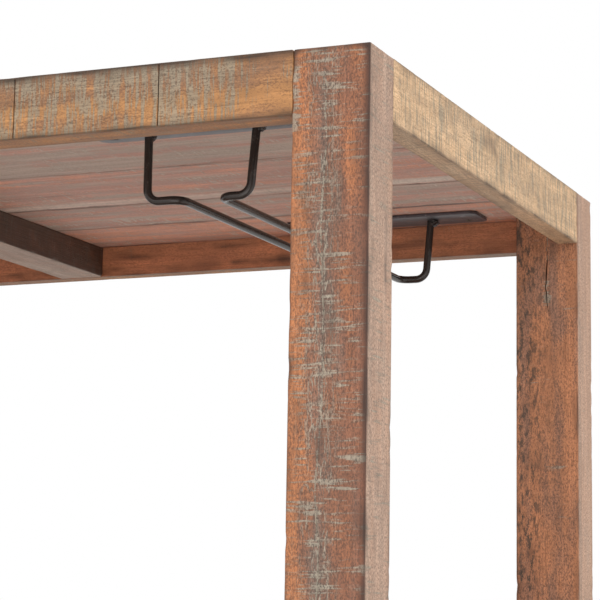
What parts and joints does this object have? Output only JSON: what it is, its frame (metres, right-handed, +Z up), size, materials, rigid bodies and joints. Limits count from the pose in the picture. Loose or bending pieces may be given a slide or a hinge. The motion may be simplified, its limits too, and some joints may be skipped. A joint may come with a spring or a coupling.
{
  "type": "bar cart",
  "caption": "Reclaimed-wood bar cart with plank tiers in a post-and-rail frame, wire stemware racks under the top and swivel casters with foot brakes.",
  "frame": {"origin": "on the floor under the middle of the cart", "axes": "+X along the cart to its right end, +Y from front to rear, +Z up"},
  "size_m": [1.032, 0.56, 0.914],
  "materials": {
    "post_wood": "rough",
    "rail_wood": "rough",
    "batten_wood": "rough",
    "board_wood": "rough",
    "strap_steel": "satin",
    "wire_steel": "satin",
    "screw_steel": "satin",
    "insert_brass": "satin",
    "stem_steel": "satin",
    "fork_steel": "satin",
    "bolt_steel": "satin",
    "wheel_iron": "matt",
    "tyre_rubber": "matt",
    "pedal_steel": "satin"
  },
  "bodies": {
    "cart": {"post_front_left": "post_wood", "post_front_right": "post_wood", "post_rear_left": "post_wood", "post_rear_right": "post_wood", "top_rail_front": "rail_wood", "top_rail_rear": "rail_wood", "top_rail_left": "rail_wood", "top_rail_right": "rail_wood", "top_batten": "batten_wood", "top_board_1": "board_wood", "top_board_2": "board_wood", "top_board_3": "board_wood", "top_board_4": "board_wood", "top_board_5": "board_wood", "mid_rail_front": "rail_wood", "mid_rail_rear": "rail_wood", "mid_rail_left": "rail_wood", "mid_rail_right": "rail_wood", "mid_batten": "batten_wood", "mid_shelf_boards": "board_wood", "bottom_rail_front": "rail_wood", "bottom_rail_rear": "rail_wood", "bottom_rail_left": "rail_wood", "bottom_rail_right": "rail_wood", "bottom_batten": "batten_wood", "bottom_shelf_boards": "board_wood", "right_rack_strap_front": "strap_steel", "right_rack_strap_rear": "strap_steel", "left_rack_strap_front": "strap_steel", "left_rack_strap_rear": "strap_steel", "right_rack_outer_wire": "wire_steel", "right_rack_inner_wire": "wire_steel", "left_rack_outer_wire": "wire_steel", "left_rack_inner_wire": "wire_steel", "rack_screws": "screw_steel", "caster_inserts": "insert_brass", "stem_front_left": "stem_steel", "stem_front_right": "stem_steel", "stem_rear_left": "stem_steel", "stem_rear_right": "stem_steel"},
    "front_left_swivel": {"fork_front_left": "fork_steel", "axle_front_left": "bolt_steel"},
    "front_left_wheel": {"wheel_front_left": "wheel_iron", "tyre_front_left": "tyre_rubber"},
    "front_left_pedal": {"brake_pedal_front_left": "pedal_steel"},
    "front_right_swivel": {"fork_front_right": "fork_steel", "axle_front_right": "bolt_steel"},
    "front_right_wheel": {"wheel_front_right": "wheel_iron", "tyre_front_right": "tyre_rubber"},
    "front_right_pedal": {"brake_pedal_front_right": "pedal_steel"},
    "rear_left_swivel": {"fork_rear_left": "fork_steel", "axle_rear_left": "bolt_steel"},
    "rear_left_wheel": {"wheel_rear_left": "wheel_iron", "tyre_rear_left": "tyre_rubber"},
    "rear_right_swivel": {"fork_rear_right": "fork_steel", "axle_rear_right": "bolt_steel"},
    "rear_right_wheel": {"wheel_rear_right": "wheel_iron", "tyre_rear_right": "tyre_rubber"}
  },
  "joints": [
    {"name": "front_left_swivel_turn", "type": "hinge", "parent": "cart", "child": "front_left_swivel", "pos_m": [-0.4875, -0.2575, 0.1], "axis": [0, 0, 1], "continuous": true},
    {"name": "front_left_wheel_spin", "type": "hinge", "parent": "front_left_swivel", "child": "front_left_wheel", "pos_m": [-0.4625, -0.2575, 0.0375], "axis": [0, 1, 0], "continuous": true},
    {"name": "front_left_brake", "type": "hinge", "parent": "front_left_swivel", "child": "front_left_pedal", "pos_m": [-0.42043, -0.2575, 0.06807], "axis": [0, 1, 0], "range_deg": [0, 22]},
    {"name": "front_right_swivel_turn", "type": "hinge", "parent": "cart", "child": "front_right_swivel", "pos_m": [0.4875, -0.2575, 0.1], "axis": [0, 0, 1], "continuous": true},
    {"name": "front_right_wheel_spin", "type": "hinge", "parent": "front_right_swivel", "child": "front_right_wheel", "pos_m": [0.4625, -0.2575, 0.0375], "axis": [0, 1, 0], "continuous": true},
    {"name": "front_right_brake", "type": "hinge", "parent": "front_right_swivel", "child": "front_right_pedal", "pos_m": [0.42043, -0.2575, 0.06807], "axis": [0, -1, 0], "range_deg": [0, 22]},
    {"name": "rear_left_swivel_turn", "type": "hinge", "parent": "cart", "child": "rear_left_swivel", "pos_m": [-0.4875, 0.2575, 0.1], "axis": [0, 0, 1], "continuous": true},
    {"name": "rear_left_wheel_spin", "type": "hinge", "parent": "rear_left_swivel", "child": "rear_left_wheel", "pos_m": [-0.4625, 0.2575, 0.0375], "axis": [0, 1, 0], "continuous": true},
    {"name": "rear_right_swivel_turn", "type": "hinge", "parent": "cart", "child": "rear_right_swivel", "pos_m": [0.4875, 0.2575, 0.1], "axis": [0, 0, 1], "continuous": true},
    {"name": "rear_right_wheel_spin", "type": "hinge", "parent": "rear_right_swivel", "child": "rear_right_wheel", "pos_m": [0.4625, 0.2575, 0.0375], "axis": [0, 1, 0], "continuous": true}
  ]
}
